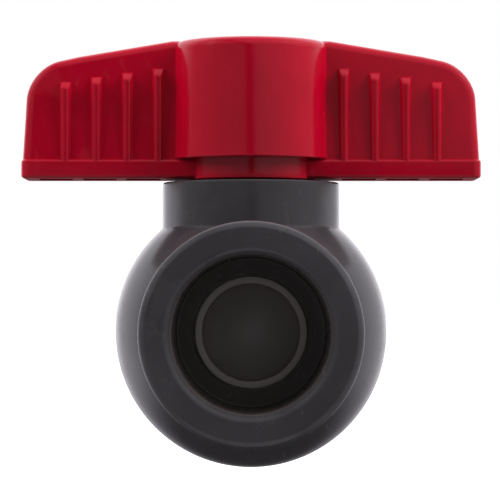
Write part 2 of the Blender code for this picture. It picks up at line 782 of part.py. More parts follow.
def build_fixings():
    """The screw that holds the handle on the stem, its washer, and the cap that covers them."""
    washer_low = recess_floor + FACE_GAP
    washer_high = washer_low + SCREW_WASHER_THICKNESS
    washer = [
        (SCREW_WASHER_DIAMETER / 2, washer_high),
        (SCREW_WASHER_DIAMETER / 2, washer_low),
        (SCREW_WASHER_HOLE / 2, washer_low),
        (SCREW_WASHER_HOLE / 2, washer_high),
    ]
    turned("handle_washer", washer, material=STAINLESS, ring=True, segments=STEM_SEGMENTS // 2)
    head_low = washer_high + FACE_GAP
    head_radius = SCREW_HEAD_DIAMETER / 2
    shank_radius = SCREW_SHANK_DIAMETER / 2
    shank_end = stem_top - SCREW_ENGAGEMENT
    crown = arc((0, head_low), 1, math.pi / 2, 0, CORNER_STEPS)
    profile = [(r * head_radius, head_low + (z - head_low) * SCREW_HEAD_HEIGHT) for r, z in crown]
    profile += [(shank_radius, head_low), (shank_radius, shank_end + SCREW_TIP_LENGTH), (0, shank_end)]
    profile[0] = (0, profile[0][1])
    screw = turned("handle_screw", profile, material=STAINLESS, segments=STEM_SEGMENTS // 2)
    cross_low = head_low + SCREW_HEAD_HEIGHT - CROSS_DEPTH
    cross_high = head_low + SCREW_HEAD_HEIGHT + CUT_OVER
    long_half, short_half = CROSS_LENGTH / 2, CROSS_WIDTH / 2
    cut(
        screw,
        box("cross_slot_x", (-long_half, -short_half, cross_low), (long_half, short_half, cross_high)),
        box("cross_slot_y", (-short_half, -long_half, cross_low), (short_half, long_half, cross_high)),
    )
    cap_radius = recess_radius - RUNNING_GAP
    skirt_bottom = recess_step + FACE_GAP
    cap = [
        (0, handle_top + CAP_CROWN),
        (cap_radius - HUB_EDGE_CHAMFER, handle_top),
        (cap_radius, handle_top - HUB_EDGE_CHAMFER),
        (cap_radius, skirt_bottom),
        (recess_step_radius, skirt_bottom),
        (recess_step_radius, handle_top - CAP_TOP_THICKNESS),
        (0, handle_top - CAP_TOP_THICKNESS),
    ]
    turned("handle_cap", cap, material=RED_ABS)


build_body()
build_connector()
build_ball()
build_seats()
build_stem()
build_handle()
build_fixings()
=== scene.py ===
import math

import bpy
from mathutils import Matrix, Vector


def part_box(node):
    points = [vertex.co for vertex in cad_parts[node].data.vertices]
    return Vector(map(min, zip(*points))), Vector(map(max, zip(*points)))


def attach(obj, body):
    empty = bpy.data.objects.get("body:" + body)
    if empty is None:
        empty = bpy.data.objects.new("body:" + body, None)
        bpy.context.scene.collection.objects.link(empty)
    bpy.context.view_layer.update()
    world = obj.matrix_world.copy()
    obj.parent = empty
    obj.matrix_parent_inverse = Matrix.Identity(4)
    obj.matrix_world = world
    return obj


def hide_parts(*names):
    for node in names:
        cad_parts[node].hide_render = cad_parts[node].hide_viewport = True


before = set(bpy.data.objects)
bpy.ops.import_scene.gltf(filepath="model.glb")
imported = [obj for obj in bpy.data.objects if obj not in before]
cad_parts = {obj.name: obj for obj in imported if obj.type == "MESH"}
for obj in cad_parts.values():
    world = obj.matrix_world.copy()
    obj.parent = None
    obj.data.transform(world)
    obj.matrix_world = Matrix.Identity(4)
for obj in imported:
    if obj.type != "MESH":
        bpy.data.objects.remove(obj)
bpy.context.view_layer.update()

mm = 0.001

for leftover in ("Cube", "Light", "Camera"):
    if leftover in bpy.data.objects:
        bpy.data.objects.remove(bpy.data.objects[leftover])

# lines through the ball's centre: the pipe runs along Y, the stem along Z, the shut ball's bore along X
axes = {
    "X": (Vector((1, 0, 0)), (0, math.radians(90), 0)),
    "Y": (Vector((0, 1, 0)), (math.radians(-90), 0, 0)),
    "Z": (Vector((0, 0, 1)), (0, 0, 0)),
}


def pickNone():
    active = bpy.context.view_layer.objects.active
    if active and active.mode != "OBJECT":
        bpy.ops.object.mode_set(mode="OBJECT")
    bpy.ops.object.select_all(action="DESELECT")


def pickPiece(piece):
    pickNone()
    piece.select_set(True)
    bpy.context.view_layer.objects.active = piece


def editPiece(piece, element="EDGE"):
    pickPiece(piece)
    bpy.ops.object.mode_set(mode="EDIT")
    bpy.ops.mesh.select_mode(type=element)
    bpy.ops.mesh.select_all(action="DESELECT")


def pickEdges(piece, test):
    # leaves the piece in edit mode with only the edges that pass, told by their two ends in mm
    editPiece(piece)
    bpy.ops.object.mode_set(mode="OBJECT")
    points = [point.co / mm for point in piece.data.vertices]
    for edge in piece.data.edges:
        edge.select = test(*(points[i] for i in edge.vertices))
    bpy.ops.object.mode_set(mode="EDIT")


def pickFaces(piece, test):
    editPiece(piece, "FACE")
    bpy.ops.object.mode_set(mode="OBJECT")
    for face in piece.data.polygons:
        face.select = test(face.center / mm, face.normal)
    bpy.ops.object.mode_set(mode="EDIT")


def settle(piece, name=None):
    # puts the piece's place into its mesh
    pickPiece(piece)
    bpy.ops.object.transform_apply(location=True, rotation=True, scale=True)
    piece.name = name or piece.name
    return piece


def tidyMesh(piece):
    editPiece(piece)
    bpy.ops.mesh.select_all(action="SELECT")
    bpy.ops.mesh.remove_doubles(threshold=0.002 * mm)
    bpy.ops.mesh.normals_make_consistent(inside=False)
    pickNone()
    if sum(face.area * face.center.dot(face.normal) for face in piece.data.polygons) < 0:  # it is inside out
        editPiece(piece)
        bpy.ops.mesh.select_all(action="SELECT")
        bpy.ops.mesh.flip_normals()
        pickNone()
    return piece


def turn(name, axis, stations, sides=144, solid=False):
    # grows a ring, or a disc if solid, through (radius, distance) stations along an axis
    # a ring's last station is its first one again
    along, rotation = axes[axis]
    radius, distance = stations[0]
    pickNone()
    bpy.ops.mesh.primitive_circle_add(
        vertices=sides, radius=radius * mm, fill_type="NGON" if solid else "NOTHING", rotation=rotation,
        location=along * distance * mm)
    piece = settle(bpy.context.object, name)
    editPiece(piece)
    bpy.ops.mesh.select_all(action="SELECT")
    for nextRadius, nextDistance in stations[1:]:
        step = along * (nextDistance - distance) * mm
        bpy.ops.mesh.extrude_region_move(TRANSFORM_OT_translate={"value": step})
        growth = nextRadius / radius
        size = [1 if along[i] else growth for i in range(3)]
        bpy.ops.transform.resize(value=size, center_override=along * nextDistance * mm)
        radius, distance = nextRadius, nextDistance
    return tidyMesh(piece)


def roundRings(piece, axis, rings, width, steps=4, profile=0.5):
    # rounds the turned edges at these (radius, distance) places
    along = axes[axis][0]

    def onRing(point):
        distance = point.dot(along)
        radius = (point - along * distance).length
        return any(abs(radius - r) < 0.02 and abs(distance - d) < 0.02 for r, d in rings)

    pickEdges(piece, lambda a, b: onRing(a) and onRing(b) and (a - b).length < 2)
    bpy.ops.mesh.bevel(offset=width * mm, segments=steps, profile=profile, affect="EDGES")
    pickNone()
    return piece


def block(name, low, high):
    low, high = Vector(low), Vector(high)
    pickNone()
    bpy.ops.mesh.primitive_cube_add(size=1, location=(low + high) / 2 * mm, scale=(high - low) * mm)
    return settle(bpy.context.object, name)


def sector(name, inner, outer, low, high, start, end):
    # a part of a ring between two bearings in degrees, spun from one upright face
    pickNone()
    bpy.ops.mesh.primitive_plane_add(
        size=1, rotation=(math.radians(90), 0, 0), location=Vector((inner + outer, 0, low + high)) / 2 * mm)
    piece = bpy.context.object
    piece.scale = ((outer - inner) * mm, (high - low) * mm, 1)
    settle(piece, name)
    piece.rotation_euler = (0, 0, math.radians(start))
    settle(piece)
    editPiece(piece)
    bpy.ops.mesh.select_all(action="SELECT")
    bpy.ops.mesh.spin(  # a minus angle spins it anticlockwise seen from above
        steps=max(8, round((end - start) / 3)), angle=math.radians(start - end),
        center=(0, 0, 0), axis=(0, 0, 1))
    return tidyMesh(piece)


def combine(piece, other, operation):
    step = piece.modifiers.new("combine", "BOOLEAN")
    step.operation = operation
    step.solver = "EXACT"
    step.object = other
    pickPiece(piece)
    bpy.ops.object.modifier_apply(modifier=step.name)
    bpy.data.objects.remove(other)
    return piece


def add(piece, *others):
    for other in others:
        combine(piece, other, "UNION")


def cut(piece, *others):
    for other in others:
        combine(piece, other, "DIFFERENCE")


def smooth(piece, angle=32):
    tidyMesh(piece)
    pickPiece(piece)
    bpy.ops.object.shade_smooth_by_angle(angle=math.radians(angle))
    weights = piece.modifiers.new("weights", "WEIGHTED_NORMAL")
    weights.keep_sharp = True
    bpy.ops.object.modifier_apply(modifier=weights.name)


def arcStations(radius, start, end, steps):
    # stations on a ball's surface, from distance start to distance end
    a, b = math.asin(start / radius), math.asin(end / radius)
    turns = [a + (b - a) * i / steps for i in range(steps + 1)]
    return [(radius * math.cos(t), radius * math.sin(t)) for t in turns]


def rootOf(shell, radius):
    return math.sqrt(shell ** 2 - radius ** 2)


def finishPiece(piece, rides, stands, material):
    smooth(piece)
    piece.data.materials.clear()
    piece.data.materials.append(material)
    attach(piece, rides)
    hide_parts(stands)
    print("made", piece.name, len(piece.data.polygons), "faces")


class Signal:
    # one socket, so that maths on it reads as plain sums
    def __init__(self, maker, socket):
        self.maker = maker
        self.socket = socket

    def sum(self, operation, first, second=0.0):
        return self.maker.node("ShaderNodeMath", {"operation": operation}, {0: first, 1: second})

    def __add__(self, other):
        return self.sum("ADD", self, other)

    def __radd__(self, other):
        return self.sum("ADD", other, self)

    def __sub__(self, other):
        return self.sum("SUBTRACT", self, other)

    def __rsub__(self, other):
        return self.sum("SUBTRACT", other, self)

    def __mul__(self, other):
        return self.sum("MULTIPLY", self, other)

    def __rmul__(self, other):
        return self.sum("MULTIPLY", other, self)

    def __abs__(self):
        return self.sum("ABSOLUTE", self)


class Nodes:
    # one node tree, and short ways to add to it
    def __init__(self, tree):
        self.tree = tree

    def node(self, kind, settings, sockets, output=0):
        made = self.tree.nodes.new(kind)
        for key, value in settings.items():
            setattr(made, key, value)
        for key, value in sockets.items():
            self.feed(made.inputs[key], value)
        return Signal(self, made.outputs[output])

    def feed(self, socket, value):
        if isinstance(value, Signal):
            self.tree.links.new(value.socket, socket)
        else:
            socket.default_value = value

    def between(self, value, low, high):
        # 0 below low, 1 above high, and a smooth slope between them
        return self.node(
            "ShaderNodeMapRange", {"interpolation_type": "SMOOTHSTEP"},
            {"Value": value, "From Min": low, "From Max": high})

    def split(self, vector):
        parts = self.node("ShaderNodeSeparateXYZ", {}, {0: vector}).socket.node
        return [Signal(self, parts.outputs[axis]) for axis in "XYZ"]


class Finish(Nodes):
    # one material
    def __init__(self, name):
        self.material = bpy.data.materials.new(name)
        self.material.use_nodes = True
        super().__init__(self.material.node_tree)
        self.surface = self.tree.nodes["Principled BSDF"]
        self.place = self.node("ShaderNodeTexCoord", {}, {}, "Object")

    def noise(self, scale, detail=3.0, roughness=0.55, stretch=(1, 1, 1), distortion=0.0):
        place = self.node("ShaderNodeMapping", {}, {"Vector": self.place, "Scale": stretch})
        return self.node("ShaderNodeTexNoise", {}, {
            "Vector": place, "Scale": scale, "Detail": detail, "Roughness": roughness,
            "Distortion": distortion})

    def blend(self, factor, first, second):
        return self.over(factor, (*first, 1), second)

    def over(self, factor, first, second):
        sockets = {0: factor, 6: first, 7: (*second, 1)}
        return self.node("ShaderNodeMix", {"data_type": "RGBA"}, sockets, 2)

    def bump(self, height, distance):
        return self.node("ShaderNodeBump", {}, {"Height": height, "Distance": distance * mm, "Strength": 1.0})

    def wear(self, **sockets):
        for key, value in sockets.items():
            self.feed(self.surface.inputs[key.replace("_", " ")], value)
        return self.material


def mouldedPlastic(name, look):
    # clouded colour, fine grain, faint hairline scratches and dull handling marks
    finish = Finish(name)
    cloud = finish.noise(look["cloudScale"], 3, 0.6)
    grain = finish.noise(look["grainScale"], 2, 0.5)
    colour = finish.blend(finish.between(cloud, 0.3, 0.7), look["deep"], look["pale"])
    scratchOne = finish.between(finish.noise(95, 2, 0.4, (1, 14, 0.7), 0.3), 0.66, 0.72)
    scratchTwo = finish.between(finish.noise(80, 2, 0.4, (12, 1, 5), 0.4), 0.67, 0.73)
    scratches = scratchOne + scratchTwo
    dull = finish.between(finish.noise(210, 4, 0.65), 0.52, 0.78)
    specks = finish.between(finish.noise(2600, 1, 0.4), 0.74, 0.8)
    if "socket" in look:  # painted light: the inside of the pipe sockets is painted lighter and a little brown, standing in for the light that reaches into them
        x, y, z = finish.split(finish.place)
        reach = (look["socketRadius"] * mm) ** 2
        colour = finish.over(1 - finish.between(x * x + z * z, reach * 0.97, reach), colour, look["socket"])
    colour = finish.over(scratches * look["scratchTint"], colour, look["worn"])
    colour = finish.over(dull * look["dullTint"], colour, look["worn"])
    colour = finish.over(specks * look["speckTint"], colour, look["worn"])
    roughness = look["roughness"] + dull * look["dullRoughness"] + scratches * 0.08 + grain * 0.05
    if "mattBelow" in look:  # the parting face under the handle is left rough
        low = look["mattBelow"]
        matt = 1 - finish.between(finish.split(finish.place)[2], low * mm, (low + 0.1) * mm)
        roughness = roughness + matt * look["mattRoughness"]
    peel = finish.noise(look["peelScale"], 2, 0.5)
    height = peel * look["peelDepth"] + grain * look["grainDepth"] - scratches * look["scratchDepth"]
    return finish.wear(
        Base_Color=colour, Roughness=roughness, Normal=finish.bump(height, 0.1), IOR=look["ior"],
        Specular_IOR_Level=look["shine"])


bodyLook = {
    "deep": (0.047, 0.0445, 0.0485), "pale": (0.060, 0.0565, 0.0615), "worn": (0.13, 0.125, 0.135),
    "cloudScale": 70, "grainScale": 1500, "peelScale": 420, "roughness": 0.2, "dullRoughness": 0.10,
    "scratchTint": 0.10, "dullTint": 0.10, "speckTint": 0.12, "peelDepth": 0.10, "grainDepth": 0.05,
    # socket: painted light, a lighter brownish tone inside the pipe sockets than the grey plastic really has
    "scratchDepth": 0.03, "ior": 1.5, "shine": 0.5, "socketRadius": 10.9, "socket": (0.13, 0.106, 0.098),
}
handleLook = {
    "deep": (0.462, 0.0003, 0.0155), "pale": (0.535, 0.0006, 0.020), "worn": (0.58, 0.016, 0.035),
    "cloudScale": 85, "grainScale": 1400, "peelScale": 380, "roughness": 0.14, "dullRoughness": 0.08,
    "scratchTint": 0.10, "dullTint": 0.08, "speckTint": 0.12, "peelDepth": 0.12, "grainDepth": 0.03,
    "scratchDepth": 0.03, "ior": 1.5, "shine": 0.5, "mattBelow": 22.56, "mattRoughness": 0.42,
}
plainLook = {key: value for key, value in bodyLook.items() if not key.startswith("socket")}
ballLook = dict(
    plainLook, deep=(0.42, 0.39, 0.375), pale=(0.48, 0.45, 0.435), worn=(0.55, 0.53, 0.51), roughness=0.34,
    peelDepth=0.02, grainDepth=0.02)
seatLook = dict(
    plainLook, deep=(0.70, 0.665, 0.60), pale=(0.78, 0.745, 0.68), worn=(0.84, 0.81, 0.76), roughness=0.42,
    peelDepth=0.04)


def softRubber(name, look):
    finish = Finish(name)
    bloom = finish.between(finish.noise(look["bloomScale"], 4, 0.6), 0.45, 0.75)
    grain = finish.noise(look["grainScale"], 2, 0.5)
    return finish.wear(
        Base_Color=finish.blend(bloom, look["deep"], look["bloom"]),
        Roughness=look["roughness"] + bloom * 0.15, Normal=finish.bump(grain, 0.02))


rubberLook = {
    "deep": (0.012, 0.012, 0.012), "bloom": (0.03, 0.03, 0.031), "bloomScale": 240, "grainScale": 2200,
    "roughness": 0.5,
}


def turnedSteel(name, look):
    # fine rings round the stem line, as a lathe leaves them
    finish = Finish(name)
    rings = finish.node(
        "ShaderNodeTexWave", {"wave_type": "RINGS", "rings_direction": "Z"},
        {"Vector": finish.place, "Scale": look["ringScale"], "Distortion": 1.5, "Detail": 2})
    smear = finish.noise(300, 3, 0.6)
    return finish.wear(
        Base_Color=finish.blend(smear, look["deep"], look["pale"]), Metallic=1.0,
        Roughness=look["roughness"] + smear * 0.15, Normal=finish.bump(rings, 0.01))


steelLook = {"deep": (0.50, 0.49, 0.47), "pale": (0.62, 0.61, 0.59), "ringScale": 900, "roughness": 0.22}

greyPlastic = mouldedPlastic("greyPlastic", bodyLook)
redPlastic = mouldedPlastic("redPlastic", handleLook)
ballPlastic = mouldedPlastic("ballPlastic", ballLook)
seatPlastic = mouldedPlastic("seatPlastic", seatLook)
blackRubber = softRubber("blackRubber", rubberLook)
stainlessSteel = turnedSteel("stainlessSteel", steelLook)
print("finishes ready")

# valve body: front socket, round shell, neck with the stop pockets, rear collar
socket = {
    "mouth": 10.77, "floor": 10.615, "floorRound": 0.3, "chamfer": 0.78, "mouthRound": (0.3, 0.06),
    "stopBore": 8.4, "stopInside": 10.6, "stopOutside": 12.8, "stopRound": 0.12,
    "hubMouth": 15.17, "hubRoot": 15.47, "hubRound": 0.95, "hubProfile": 0.36, "fillet": 0.9,
}
body = {
    "shell": 19.75, "shellSteps": 56, "cavity": 12.2, "spigotBore": 13.015, "spigotStep": 10.45,
    "collar": 15.465, "collarRound": 0.3, "collarGap": 0.15,
    "neck": 12.85, "neckFoot": 13.4, "neckRound": 0.32,
    # how much wider the neck is at these heights, down to its foot
    "neckRoot": 14.0, "neckFlare": ((0.2, 14.8), (0.05, 15.05), (0, 15.4)), "neckRings": (17, 19),
    "stemBore": 4.5, "flangeBore": 6.1, "stemCeiling": 13.8, "coreFoot": 5,
    "bossDrop": 0.5, "bossRadius": 8.1, "pocketInside": 7.6, "pocketOutside": 9.9, "pocketDepth": 4.1,
    "travel": (13.5, 166.5), "relief": (186.5, 353.5),
}
mouthFace = -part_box("valve_body")[0].y / mm
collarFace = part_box("valve_body")[1].y / mm
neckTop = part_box("valve_body")[1].z / mm
connectorFace = collarFace + body["collarGap"]


def socketInside(end):
    # from the stop wall's inner face out to the mouth; end is -1 at the front and 1 at the rear
    return [
        (socket["stopBore"], end * socket["stopInside"]), (socket["stopBore"], end * socket["stopOutside"]),
        (socket["floor"], end * socket["stopOutside"]),
        (socket["mouth"], end * (mouthFace - socket["chamfer"])),
        (socket["mouth"] + socket["chamfer"], end * mouthFace), (socket["hubMouth"], end * mouthFace)]


def roundSocket(piece, end):
    outer, inner = socket["mouthRound"]
    rim = [(socket["hubMouth"], end * mouthFace)]
    roundRings(piece, "Y", rim, socket["hubRound"], 7, socket["hubProfile"])
    roundRings(piece, "Y", [(socket["mouth"] + socket["chamfer"], end * mouthFace)], outer, 4)
    roundRings(piece, "Y", [(socket["mouth"], end * (mouthFace - socket["chamfer"]))], inner, 2)
    roundRings(piece, "Y", [(socket["stopBore"], end * socket["stopOutside"])], socket["stopRound"], 3)
    roundRings(piece, "Y", [(socket["floor"], end * socket["stopOutside"])], socket["floorRound"], 3)


def makeBody():
    frontRoot = rootOf(body["shell"], socket["hubRoot"])
    rearRoot = rootOf(body["shell"], body["collar"])
    stations = [(socket["hubMouth"], -mouthFace), (socket["hubRoot"], -frontRoot - 0.001)]
    stations += arcStations(body["shell"], -frontRoot, rearRoot, body["shellSteps"])
    stations += [
        (body["collar"], collarFace), (body["spigotBore"], collarFace),
        (body["spigotBore"], body["spigotStep"]), (body["cavity"], body["spigotStep"]),
        (body["cavity"], -socket["stopInside"])]
    stations += socketInside(-1)
    piece = turn("valveBody", "Y", stations)
    roundSocket(piece, -1)
    collarEdges = [(body["collar"], collarFace), (body["spigotBore"], collarFace)]
    roundRings(piece, "Y", collarEdges, body["collarRound"], 3)
    roundRings(piece, "Y", [(socket["hubRoot"], -frontRoot), (body["collar"], rearRoot)], socket["fillet"], 5)
    add(piece, makeNeck())
    bossFloor = neckTop - body["bossDrop"]
    core = turn("stemCore", "Z", [
        (body["flangeBore"], body["coreFoot"]), (body["flangeBore"], body["stemCeiling"]),
        (body["stemBore"], body["stemCeiling"]), (body["stemBore"], bossFloor),
        (body["bossRadius"], bossFloor), (body["bossRadius"], neckTop + 1)], 96, solid=True)
    cut(piece, core)
    for start, end in (body["travel"], body["relief"]):
        cut(piece, sector(
            "stopPocket", body["pocketInside"], body["pocketOutside"], neckTop - body["pocketDepth"],
            neckTop + 1, start, end))
    finishPiece(piece, "valve_body", "valve_body", greyPlastic)


def makeNeck():
    # its foot flares a little where it meets the shell
    neck = body["neck"]
    stations = [(body["neckFoot"], body["neckRoot"])] + [(neck + wider, z) for wider, z in body["neckFlare"]]
    stations += [(neck, z) for z in (*body["neckRings"], neckTop)]
    piece = turn("neck", "Z", stations, solid=True)
    return roundRings(piece, "Z", [(neck, neckTop)], body["neckRound"], 4)


makeBody()

# rear end connector
connector = {
    "spigot": 12.915, "grooveStart": 11.2, "grooveWidth": 1.7, "grooveDepth": 1.15, "flangeRound": 0.35,
    "taperLength": 4,
}


def makeConnector():
    spigot = connector["spigot"]
    bottom = spigot - connector["grooveDepth"]
    grooveEnd = connector["grooveStart"] + connector["grooveWidth"]
    stations = [
        (spigot, socket["stopInside"]), (spigot, connector["grooveStart"]),
        (bottom, connector["grooveStart"]), (bottom, grooveEnd),
        (spigot, grooveEnd), (spigot, connectorFace), (body["collar"], connectorFace),
        (socket["hubRoot"], connectorFace + connector["taperLength"]), (socket["hubMouth"], mouthFace)]
    stations += socketInside(1)[::-1][1:]
    stations += [(spigot, socket["stopInside"])]
    piece = turn("rearConnector", "Y", stations)
    roundSocket(piece, 1)
    roundRings(piece, "Y", [(body["collar"], connectorFace)], connector["flangeRound"], 3)
    finishPiece(piece, "valve_body", "rear_end_connector", greyPlastic)


makeConnector()

# ball, bore along X while shut, with the slot that the stem's tongue sits in
ball = {"radius": 11.0, "port": 6.95, "portRound": 0.35, "slotWidth": 4.2, "slotFloor": 8.4, "steps": 48}


def makeBall():
    edge = rootOf(ball["radius"], ball["port"])
    stations = arcStations(ball["radius"], -edge, edge, ball["steps"]) + [(ball["port"], -edge)]
    piece = turn("ball", "X", stations, 128)
    roundRings(piece, "X", [(ball["port"], edge), (ball["port"], -edge)], ball["portRound"], 4)
    half = ball["slotWidth"] / 2
    cut(piece, block("slot", (-half, -13, ball["slotFloor"]), (half, 13, 13)))
    finishPiece(piece, "ball", "ball", ballPlastic)


makeBall()

# seats: a lapped land on the ball, and a thin nose in the stop bore
seat = {
    "port": 6.95, "nose": 7.95, "lip": 9.05, "land": 11.1, "outside": 12.1, "back": 10.2, "front": 12.0,
    "flange": 2.3, "grooveInside": 9.4, "grooveOutside": 10.92, "grooveDepth": 1.1, "noseRound": 0.14,
}


def makeSeat(name, stands, end):
    landIn, landOut = rootOf(seat["land"], seat["port"]), rootOf(seat["land"], seat["lip"])
    land = [(rootOf(seat["land"], d), d) for d in (landOut + (landIn - landOut) * i / 6 for i in range(7))]
    grooveFloor = seat["back"] - seat["grooveDepth"]
    stations = [
        (seat["nose"], seat["front"]), (seat["nose"], seat["back"]), (seat["grooveInside"], seat["back"]),
        (seat["grooveInside"], grooveFloor), (seat["grooveOutside"], grooveFloor),
        (seat["grooveOutside"], seat["back"]), (seat["outside"], seat["back"]),
        (seat["outside"], seat["back"] - seat["flange"]), *land, (seat["port"], seat["front"]),
        (seat["nose"], seat["front"])]
    piece = turn(name, "Y", [(r, end * d) for r, d in stations], 128)
    edges = [(seat["nose"], end * seat["front"]), (seat["port"], end * seat["front"])]
    roundRings(piece, "Y", edges, seat["noseRound"], 3)
    roundRings(piece, "Y", [(seat["outside"], end * seat["back"])], 0.2, 3)
    finishPiece(piece, "valve_body", stands, seatPlastic)


makeSeat("frontSeat", "front_seat", -1)
makeSeat("rearSeat", "rear_seat", 1)

# handle: hub, two drafted wings with grip ribs, rim, stop lug
handle = {
    "hubFoot": 12.0, "hubHead": 11.6, "hubRound": 1.35, "lowerHub": 9.6, "rimTop": 24.9, "rimEnd": 33.22,
    "rimHalf": 5.4, "rimCorner": 1.1, "rimRound": 0.45, "wingFoot": 33.1, "wingHead": 32.15,
    "wingHalfFoot": 5.0, "wingHalfHead": 3.9,
    # where the top's slope changes: distance out, height, drop per mm beyond it
    "slices": ((12.0, 42.1, 0.17), (21.3, 40.53, 0.18), (26.5, 39.56, 0.22)),
    "shoulderRadius": 6.0, "wingRound": 1.2,
    "ribFirst": 13.4, "ribLast": 26.84, "ribFront": 5.36, "ribWidth": 1.0, "ribFlare": 0.32,
    "ribMargin": (3.72, 3.3),
    "ribRound": 0.28, "ribSlope": 0.95,
    "cellFirst": 13.2, "cellLast": 31.0, "cellWeb": 1.4, "cellHalf": 3.0, "cellRound": 0.6,
    "coreInside": 6.0, "coreOutside": 7.8, "coreTop": 33.2, "socketHalf": 3.2, "socketTop": 34.2,
    "recess": 5.2, "recessStep": 4.2, "recessStepZ": 38.5, "recessFloor": 36.2, "screwHole": 1.75,
    "lugInside": 7.95, "lugOutside": 9.55, "lugGap": 0.35, "lug": (15, 75),
}
handleFoot = neckTop + 0.3
handleHead = handleFoot + 20.2
rimFoot = handleFoot + 0.2


def wingHalfAt(height):
    share = (height - handle["rimTop"]) / (handleHead - handle["rimTop"])
    return handle["wingHalfFoot"] + (handle["wingHalfHead"] - handle["wingHalfFoot"]) * share


def wingTopAt(x):
    return min(z - drop * (x - start) for start, z, drop in handle["slices"])


def makeWings():
    # a tall block narrowed at its head, with its top sliced to the sloping shoulders, and then rounded
    low = (handle["rimTop"] + rimFoot) / 2
    piece = block("wings", (-handle["wingFoot"], -handle["wingHalfFoot"], low),
                  (handle["wingFoot"], handle["wingHalfFoot"], handleHead))
    pickFaces(piece, lambda centre, normal: normal.z > 0.9)
    reach = (handleHead - low) / (handleHead - handle["rimTop"])
    narrow = 1 - reach * (1 - handle["wingHalfHead"] / handle["wingHalfFoot"])
    shorter = 1 - reach * (1 - handle["wingHead"] / handle["wingFoot"])
    bpy.ops.transform.resize(value=(shorter, narrow, 1), center_override=(0, 0, handleHead * mm))
    for side in (-1, 1):
        for x, z, drop in handle["slices"]:
            bpy.ops.mesh.select_all(action="SELECT")
            bpy.ops.mesh.bisect(
                plane_co=(side * x * mm, 0, z * mm), plane_no=(side * drop, 0, 1),
                use_fill=True, clear_outer=True)
    pickEdges(piece, lambda a, b: min(a.z, b.z) > 36 and min(abs(a.x), abs(b.x)) > 30 and abs(a.y - b.y) > 5)
    bpy.ops.mesh.bevel(offset=handle["shoulderRadius"] * 0.78 * mm, segments=16, profile=0.5, affect="EDGES")
    pickEdges(piece, lambda a, b: a.y * b.y > 0 and max(a.z, b.z) > low + 1)
    bpy.ops.mesh.bevel(offset=handle["wingRound"] * mm, segments=5, profile=0.5, affect="EDGES")
    pickNone()
    return tidyMesh(piece)


def makeRim():
    end, half = handle["rimEnd"], handle["rimHalf"]
    piece = block("rim", (-end, -half, rimFoot), (end, half, handle["rimTop"]))
    pickEdges(piece, lambda a, b: abs(a.z - b.z) > 1)
    bpy.ops.mesh.bevel(offset=handle["rimCorner"] * mm, segments=6, profile=0.5, affect="EDGES")
    pickEdges(piece, lambda a, b: abs(a.z - b.z) < 0.01)
    bpy.ops.mesh.bevel(offset=handle["rimRound"] * mm, segments=4, profile=0.5, affect="EDGES")
    pickNone()
    return tidyMesh(piece)


def makeRib(share, side):
    # an upright bar whose sides flare towards the wing, with a sloped top; share runs 0 to 1 from hub to tip
    inner, outer = handle["ribMargin"]
    x = handle["ribFirst"] + (handle["ribLast"] - handle["ribFirst"]) * share
    top = wingTopAt(x) - inner - (outer - inner) * share
    x *= side[0]
    front, root = side[1] * handle["ribFront"], side[1] * 2.6
    half = handle["ribWidth"] / 2
    foot = handle["rimTop"] - 0.9
    piece = block("rib", (x - half, min(front, root), foot), (x + half, max(front, root), top))
    pickFaces(piece, lambda centre, normal: normal.y * side[1] < -0.9)
    flare = 1 + handle["ribFlare"] * abs(front - root) / half
    bpy.ops.transform.resize(value=(flare, 1, 1), center_override=(x * mm, root * mm, 30 * mm))
    bpy.ops.mesh.select_all(action="SELECT")
    bpy.ops.mesh.bisect(
        plane_co=(x * mm, side[1] * wingHalfAt(top) * mm, top * mm),
        plane_no=(0, side[1] * handle["ribSlope"], 1), use_fill=True, clear_outer=True)
    face = wingHalfAt(top)

    def onSlope(point):
        return abs((point.y * side[1] - face) * handle["ribSlope"] + point.z - top) < 0.02

    def onFront(point):
        return point.y * side[1] > handle["ribFront"] - 0.02

    pickEdges(piece, lambda a, b: (onSlope(a) and onSlope(b)) or (onFront(a) and onFront(b)))
    bpy.ops.mesh.bevel(offset=handle["ribRound"] * mm, segments=3, profile=0.5, affect="EDGES")
    pickNone()
    return tidyMesh(piece)


def makeCell(near, far, side):
    last = far > handle["cellLast"] - 0.1
    roof = 32.6 if last else wingTopAt(far) - 3.6
    half = handle["cellHalf"]
    ends = sorted((side * near, side * far))
    piece = block("cell", (ends[0], -half, handleFoot - 1), (ends[1], half, roof))
    pickEdges(piece, lambda a, b: abs(a.z - b.z) > 1 or min(a.z, b.z) > roof - 0.1)
    bpy.ops.mesh.bevel(offset=handle["cellRound"] * mm, segments=3, profile=0.5, affect="EDGES")
    pickNone()
    return tidyMesh(piece)


def makeHub():
    foot, head, lower = handle["hubFoot"], handle["hubHead"], handle["lowerHub"]
    low = handle["rimTop"] + 0.1
    stations = [(lower, handleFoot), (lower, low), (foot, low)]
    stations += [
        (foot + (head - foot) * i / 4, handle["rimTop"] + 0.1 + (handleHead - handle["rimTop"] - 0.1) * i / 4)
        for i in range(1, 5)]
    piece = turn("handle", "Z", stations, 144, solid=True)
    roundRings(piece, "Z", [(head, handleHead)], handle["hubRound"], 6)
    return roundRings(piece, "Z", [(foot, low), (lower, handleFoot)], 0.22, 3)


